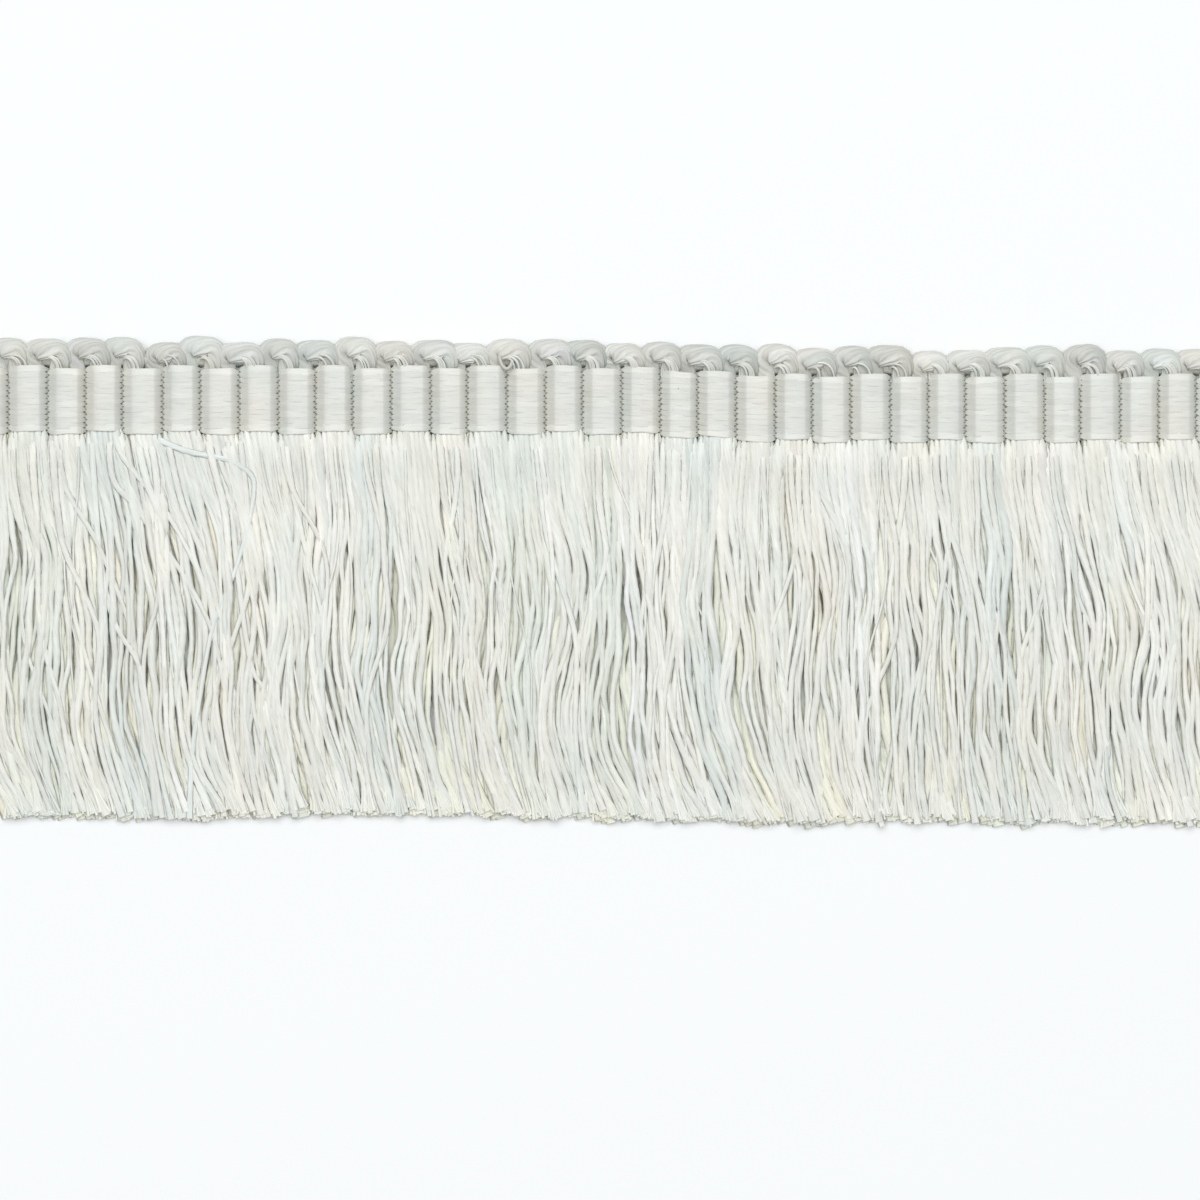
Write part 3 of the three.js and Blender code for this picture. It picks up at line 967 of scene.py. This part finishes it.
def make_strays(material):
    """Yarns and fine fibre strands that wander over the top layer and cross the others."""
    shares = YARN_SHARES
    placed = [lay_over(rows, CROSSING_LIFT) for rows in CROSSING_YARNS] + [lay_over(LOOSE_YARN, LOOSE_LIFT)]
    loose = len(placed) - 1
    count = STRAY_COUNT + FINE_COUNT
    each = (count, 1)
    even = rng.uniform(-STRAY_PLACES, STRAY_PLACES, size=count) * LENGTH
    rib = np.round(even / PITCH)
    roots = (rib + STRAY_ROOT_REACH * (even / PITCH - rib)) * PITCH
    top = HEADING_FOOT - RIB_STAGGER - STRAY_TUCK + bow(roots)
    foot = HEADING_FOOT - FRINGE_DROP + STRAY_SHORTER + STRAY_CUT_SPREAD * rng.normal(size=count) + bow(even)
    drift, y = hang(even, top, foot)
    begin = rng.uniform(*STRAY_BEGIN, size=each)
    end = begin + rng.uniform(*STRAY_LASTS, size=each)
    aside = rng.uniform(*STRAY_ASIDE, size=each) * np.where(rng.random(each) < STRAY_TO_RIGHT, 1, -1)
    swing = waves(count, shares, LOCK_WAVES) * smooth(*STRAY_FREE_SHARES, shares)
    inward = smooth(0, STRAY_EDGE, LENGTH / 2 - np.abs(even))[:, None]
    x = roots[:, None] + drift + (aside * smooth(begin, end, shares[None]) + swing) * inward
    z = lie_over(shares[None], STRAY_LIFT + STRAY_LIFT_SPREAD * rng.random(each))
    paths = np.concatenate([np.array(placed), np.stack([x, y, z], axis=2)])
    half = 0.5 * OVER_WIDE * np.concatenate([
        np.full(loose, CROSSING_WIDTH),
        [LOOSE_WIDTH],
        rng.uniform(*STRAY_WIDTHS, STRAY_COUNT),
        rng.uniform(*FINE_WIDTHS, FINE_COUNT),
    ])
    across = half[:, None] * YARN_WIDTHS
    deep = STRAY_FLAT * half[:, None] * YARN_DEPTHS
    twist = TURN * (rng.random((len(half), 1)) + STRAY_TURNS * shares[None])
    tints = STRAY_TONE * plain_tints(len(half), own_share=0.6)
    tints[loose] = COOL_TINT
    strands = Strands(ring(YARN_RADII))
    strands.add(paths, across, deep, tints, twist)
    return strands.piece("fringe_strays", material)


# Floor, camera and lights, in metres

# The camera is straight above, with the photograph's field of view and middle, these four in millimetres.
FIELD = 158.9
FIELD_MIDDLE = (-0.3, -26.4)
CAMERA_HEIGHT = 620.0
SENSOR = 36.0
CLIP_NEAR = 0.01
CLIP_FAR = 20.0
FLOOR_HALF = 3.0
FLOOR_BELOW = 0.00002
LIGHT_PLACE = (-0.15, 0.68, 1.88)
LIGHT_SIZE = 2.2
LIGHT_POWER = 37.0
SKY_COLOR = (0.97, 0.99, 1.0, 1)
SKY_STRENGTH = 0.42


def make_floor():
    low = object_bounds()[0].z - FLOOR_BELOW
    corners = [(-1, -1), (1, -1), (1, 1), (-1, 1)]
    points = np.array([(FLOOR_HALF * x, FLOOR_HALF * y, low) for x, y in corners])
    floor = mesh_piece("floor", points, [(0, 1, 2, 3)], floor_material())


def make_camera():
    camera = bpy.data.cameras.new("camera")
    camera.sensor_width = SENSOR
    camera.lens = SENSOR * CAMERA_HEIGHT / FIELD
    camera.clip_start = CLIP_NEAR
    camera.clip_end = CLIP_FAR
    obj = bpy.data.objects.new("camera", camera)
    obj.location = (FIELD_MIDDLE[0] * MM, FIELD_MIDDLE[1] * MM, CAMERA_HEIGHT * MM)
    bpy.context.scene.collection.objects.link(obj)
    bpy.context.scene.camera = obj


def make_lights():
    """A square soft box that faces the origin, and an even sky."""
    light = bpy.data.lights.new("key", "AREA")
    light.shape = "SQUARE"
    light.size = LIGHT_SIZE
    light.energy = LIGHT_POWER
    key = bpy.data.objects.new("key", light)
    key.location = LIGHT_PLACE
    key.rotation_euler = Vector(LIGHT_PLACE).to_track_quat("Z", "Y").to_euler()
    bpy.context.scene.collection.objects.link(key)
    world = bpy.data.worlds.new("studio")
    world.use_nodes = True
    background = world.node_tree.nodes["Background"]
    background.inputs["Color"].default_value = SKY_COLOR
    background.inputs["Strength"].default_value = SKY_STRENGTH
    bpy.context.scene.world = world


bpy.context.scene.view_settings.view_transform = "Standard"
make_camera()
make_lights()

# name, roughness, gloss, relief of its fibres, strength of its streaks, seed
fringe_yarn = yarn_material("fringe_yarn", 0.42, 0.45, 0.8, 0.09, 1.0)
edge_yarn = yarn_material("edge_yarn", 0.37, 0.75, 0.6, 0.06, 3.0)
warp_thread = yarn_material("warp_thread", 0.34, 0.9, 0.5, 0.05, 5.0)
weft_core = yarn_material("weft_core", 0.8, 0.1, 0.3, 0.05, 7.0)

warp = make_warp(warp_thread)
ribs = make_ribs(weft_core)
loops = make_loops(edge_yarn)
plies = make_plies(edge_yarn)
backing = make_backing(edge_yarn)
cut_ends = Strands(ring(np.ones(FRAY_CORNERS)))
hanging = [make_layer(layer, cut_ends, fringe_yarn) for layer in LAYERS]
hanging.append(make_strays(fringe_yarn))
hanging.append(cut_ends.piece("fringe_ends", fringe_yarn))
make_floor()

edge_pieces = [loops, plies, backing]
for piece, node, slot in (
    [(warp, "heading", "heading_warp"), (ribs, "heading", "fringe_yarn")]
    + [(piece, "looped_edge", "edge_yarn") for piece in edge_pieces]
    + [(piece, "fringe", "fringe_yarn") for piece in hanging]
):
    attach(piece, "root")
    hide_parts(node)
